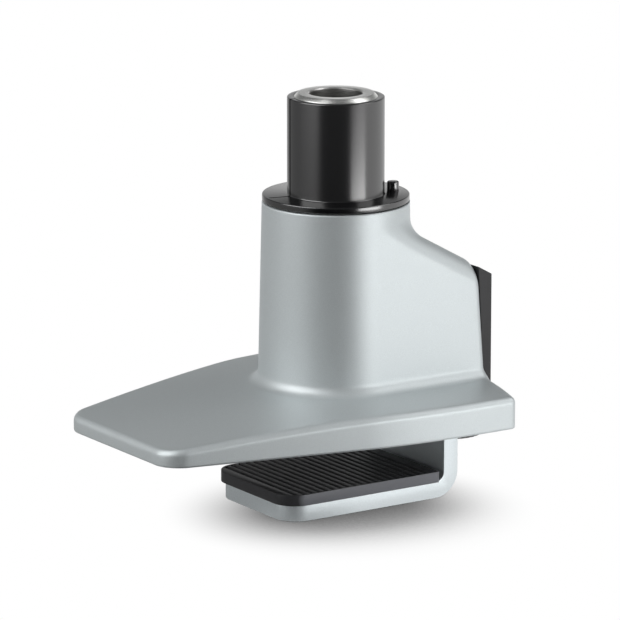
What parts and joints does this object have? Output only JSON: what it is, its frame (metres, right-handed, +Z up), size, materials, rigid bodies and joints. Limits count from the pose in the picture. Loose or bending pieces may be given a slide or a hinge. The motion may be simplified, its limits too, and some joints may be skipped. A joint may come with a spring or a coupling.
{
  "type": "microscope stand",
  "caption": "Table clamp base of a swing-arm microscope stand: cast plate with a drafted tower, turning slit sleeve on a steel post, and a ribbed screw jaw below.",
  "frame": {"origin": "on the post's axis, in the plane of the desk face under the plate", "axes": "+Z up along the post, -Y along the plate's nose over the desk, +Y to the clamp screw and the rear cover, X across"},
  "size_m": [0.109, 0.1571, 0.1488],
  "materials": {
    "cast_silver": "cast, with satin silver enamel and a fine metallic fleck",
    "bracket_silver": "satin light silver enamel, slightly rough",
    "post_steel": "turned and brushed",
    "zinc_steel": "zinc plated",
    "black_steel": "black oxide",
    "nut_brass": "machined",
    "sleeve_black": "glossy, moulded",
    "washer_white": "self-lubricating plastic",
    "pad_rubber": "satin",
    "knob_black": "satin, fluted rim",
    "cover_black": "matte, finely grained"
  },
  "bodies": {
    "base": {"housing": "cast_silver", "post": "post_steel", "post_washer": "zinc_steel", "post_ring_nut": "black_steel", "post_dowel": "zinc_steel", "desk_pad": "pad_rubber", "slip_washer": "washer_white", "screw_bush": "nut_brass", "bearing_plate": "black_steel", "bearing_plate_screws": "zinc_steel", "rear_cover": "cover_black", "rear_cover_screws": "black_steel"},
    "sleeve": {"bearing_sleeve": "sleeve_black", "stop_pin": "sleeve_black"},
    "jaw": {"clamp_bracket": "bracket_silver", "jaw_pad": "pad_rubber", "pad_screws": "zinc_steel", "nut_block": "nut_brass", "nut_block_screws": "zinc_steel"},
    "screw": {"clamp_screw": "zinc_steel", "thrust_washer": "zinc_steel", "clamp_knob": "knob_black", "knob_pin": "zinc_steel", "screw_clip": "black_steel"}
  },
  "joints": [
    {"name": "sleeve_turn", "type": "hinge", "parent": "base", "child": "sleeve", "pos_m": [0, 0, 0.08], "axis": [0, 0, 1], "continuous": true},
    {"name": "screw_turn", "type": "hinge", "parent": "base", "child": "screw", "pos_m": [0, 0.0511, 0.01], "axis": [0, 0, 1], "range_deg": [-2401, 2641]},
    {"name": "jaw_slide", "type": "slide", "parent": "base", "child": "jaw", "axis": [0, 0, 1], "range_m": [-0.011, 0.01]}
  ],
  "couplings": [
    {"joint": "screw_turn", "follows": "jaw_slide", "rad_per_m": -4188.8}
  ]
}
